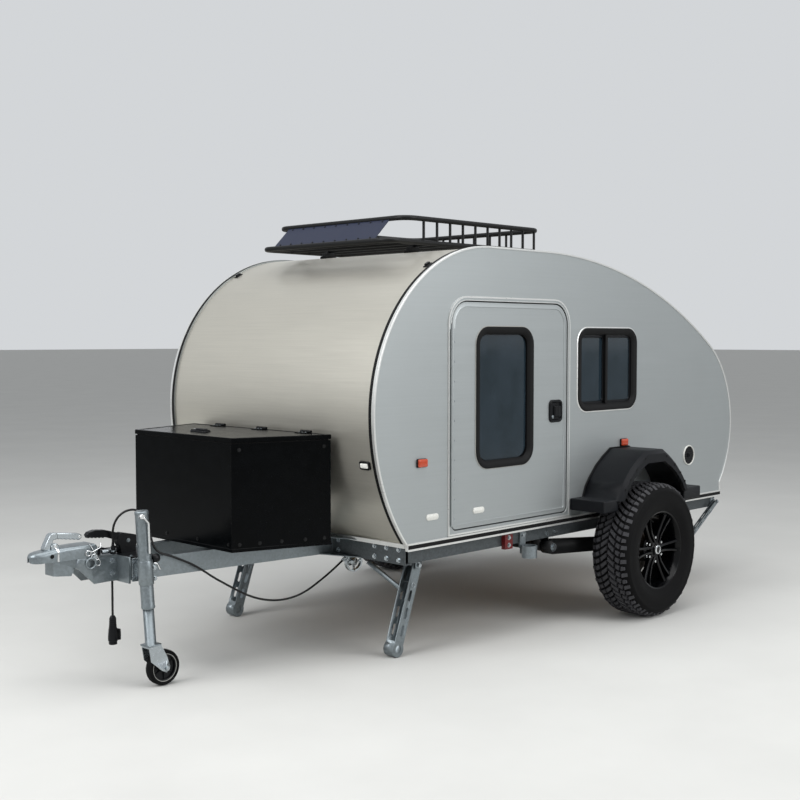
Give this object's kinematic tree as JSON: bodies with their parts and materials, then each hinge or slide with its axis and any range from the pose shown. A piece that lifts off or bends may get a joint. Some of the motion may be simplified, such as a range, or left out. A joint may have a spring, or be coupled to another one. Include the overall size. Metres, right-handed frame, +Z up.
{
  "type": "teardrop trailer",
  "caption": "Small towed teardrop sleeping cabin with side doors, rear hatch, roof basket, front toolbox, folding legs, jockey wheel and ball coupling.",
  "frame": {"origin": "on the ground, below the middle of the object's box", "axes": "+X forward to the hitch, +Y to the trailer's left, +Z up"},
  "size_m": [4.4198, 2.166, 2.12],
  "materials": {
    "brushed_skin": "satin",
    "edge_aluminium": "satin",
    "plywood": "satin",
    "black_plastic": "matte",
    "dark_glass": "gloss",
    "galvanised": "satin",
    "bright_zinc": "gloss",
    "black_gloss": "gloss",
    "black_paint": "satin",
    "navy_paint": "satin",
    "tyre": "matte",
    "rim_black": "gloss",
    "amber_lens": "gloss",
    "white_lens": "gloss",
    "red_lens": "gloss",
    "white_plastic": "satin",
    "red_paint": "satin",
    "cord": "satin"
  },
  "bodies": {
    "trailer": {"cabin_floor": "plywood", "cabin_skin": "brushed_skin", "cable_ring": "galvanised", "chassis_cross_members": "galvanised", "chassis_side_rails": "galvanised", "coupling": "bright_zinc", "coupling_lever": "bright_zinc", "door_frames": "edge_aluminium", "drawbar_head": "galvanised", "drawbar_rails": "galvanised", "edge_trims": "edge_aluminium", "fender_left": "black_plastic", "fender_right": "black_plastic", "front_lamps": "white_lens", "galley_bulkhead": "plywood", "handbrake": "black_plastic", "jockey_clamp": "galvanised", "jockey_crank": "galvanised", "jockey_tube": "galvanised", "leg_brackets": "galvanised", "lighting_cable": "cord", "marker_lamps": "amber_lens", "plug": "black_plastic", "plug_lead": "cord", "rack_basket": "black_paint", "rack_deflector": "navy_paint", "rail_block": "red_paint", "rear_sill": "brushed_skin", "side_wall_left": "brushed_skin", "side_wall_right": "brushed_skin", "side_window_frames": "black_plastic", "side_window_glass": "dark_glass", "stand_clamp": "galvanised", "tail_lamps": "red_lens", "toolbox": "black_gloss", "trailing_arms": "black_paint", "vents": "white_plastic"},
    "wheel_left": {"tyre_left": "tyre", "rim_left": "rim_black"},
    "wheel_right": {"tyre_right": "tyre", "rim_right": "rim_black"},
    "jockey_stem": {"jockey_stem": "galvanised"},
    "jockey_fork": {"jockey_fork": "galvanised"},
    "jockey_wheel": {"jockey_wheel": "black_plastic"},
    "leg_front_left": {"leg_front_left": "galvanised"},
    "leg_front_right": {"leg_front_right": "galvanised"},
    "leg_rear_left": {"leg_rear_left": "galvanised"},
    "leg_rear_right": {"leg_rear_right": "galvanised"},
    "door_left": {"door_left": "brushed_skin", "door_glass_left": "dark_glass", "door_fittings_left": "black_plastic"},
    "door_right": {"door_right": "brushed_skin", "door_glass_right": "dark_glass", "door_fittings_right": "black_plastic"},
    "toolbox_lid": {"toolbox_lid": "black_gloss"},
    "hatch": {"hatch": "brushed_skin", "hatch_handle": "black_plastic"}
  },
  "joints": [
    {"name": "wheel_left_spin", "type": "hinge", "parent": "trailer", "child": "wheel_left", "pos_m": [-0.952, 0.9655, 0.365], "axis": [0, 1, 0], "continuous": true},
    {"name": "wheel_right_spin", "type": "hinge", "parent": "trailer", "child": "wheel_right", "pos_m": [-0.952, -0.9655, 0.365], "axis": [0, 1, 0], "continuous": true},
    {"name": "jockey_height", "type": "slide", "parent": "trailer", "child": "jockey_stem", "axis": [0.0698, 0, 0.9976], "range_m": [-0.1, 0.15]},
    {"name": "jockey_swivel", "type": "hinge", "parent": "jockey_stem", "child": "jockey_fork", "pos_m": [1.779, 0.217, 0.52], "axis": [0.0698, 0, 0.9976], "continuous": true},
    {"name": "jockey_wheel_spin", "type": "hinge", "parent": "jockey_fork", "child": "jockey_wheel", "pos_m": [1.69597, 0.217, 0.078], "axis": [0, 1, 0], "continuous": true},
    {"name": "leg_front_left_fold", "type": "hinge", "parent": "trailer", "child": "leg_front_left", "pos_m": [0.523, 0.61, 0.425], "axis": [0, 1, 0], "range_deg": [0, 109]},
    {"name": "leg_front_right_fold", "type": "hinge", "parent": "trailer", "child": "leg_front_right", "pos_m": [0.523, -0.61, 0.425], "axis": [0, 1, 0], "range_deg": [0, 109]},
    {"name": "leg_rear_left_fold", "type": "hinge", "parent": "trailer", "child": "leg_rear_left", "pos_m": [-2.06, 0.761, 0.496], "axis": [0, 1, 0], "range_deg": [-31, 41]},
    {"name": "leg_rear_right_fold", "type": "hinge", "parent": "trailer", "child": "leg_rear_right", "pos_m": [-2.06, -0.761, 0.496], "axis": [0, 1, 0], "range_deg": [-31, 41]},
    {"name": "door_left_swing", "type": "hinge", "parent": "trailer", "child": "door_left", "pos_m": [0.436, 0.786, 1.1], "axis": [0, 0, -1], "range_deg": [0, 100]},
    {"name": "door_right_swing", "type": "hinge", "parent": "trailer", "child": "door_right", "pos_m": [0.436, -0.786, 1.1], "axis": [0, 0, 1], "range_deg": [0, 100]},
    {"name": "toolbox_lid_lift", "type": "hinge", "parent": "trailer", "child": "toolbox_lid", "pos_m": [0.984, 0, 1.08], "axis": [0, -1, 0], "range_deg": [0, 90]},
    {"name": "hatch_lift", "type": "hinge", "parent": "trailer", "child": "hatch", "pos_m": [-1.453, 0, 1.732], "axis": [0, 1, 0], "range_deg": [0, 70]}
  ]
}
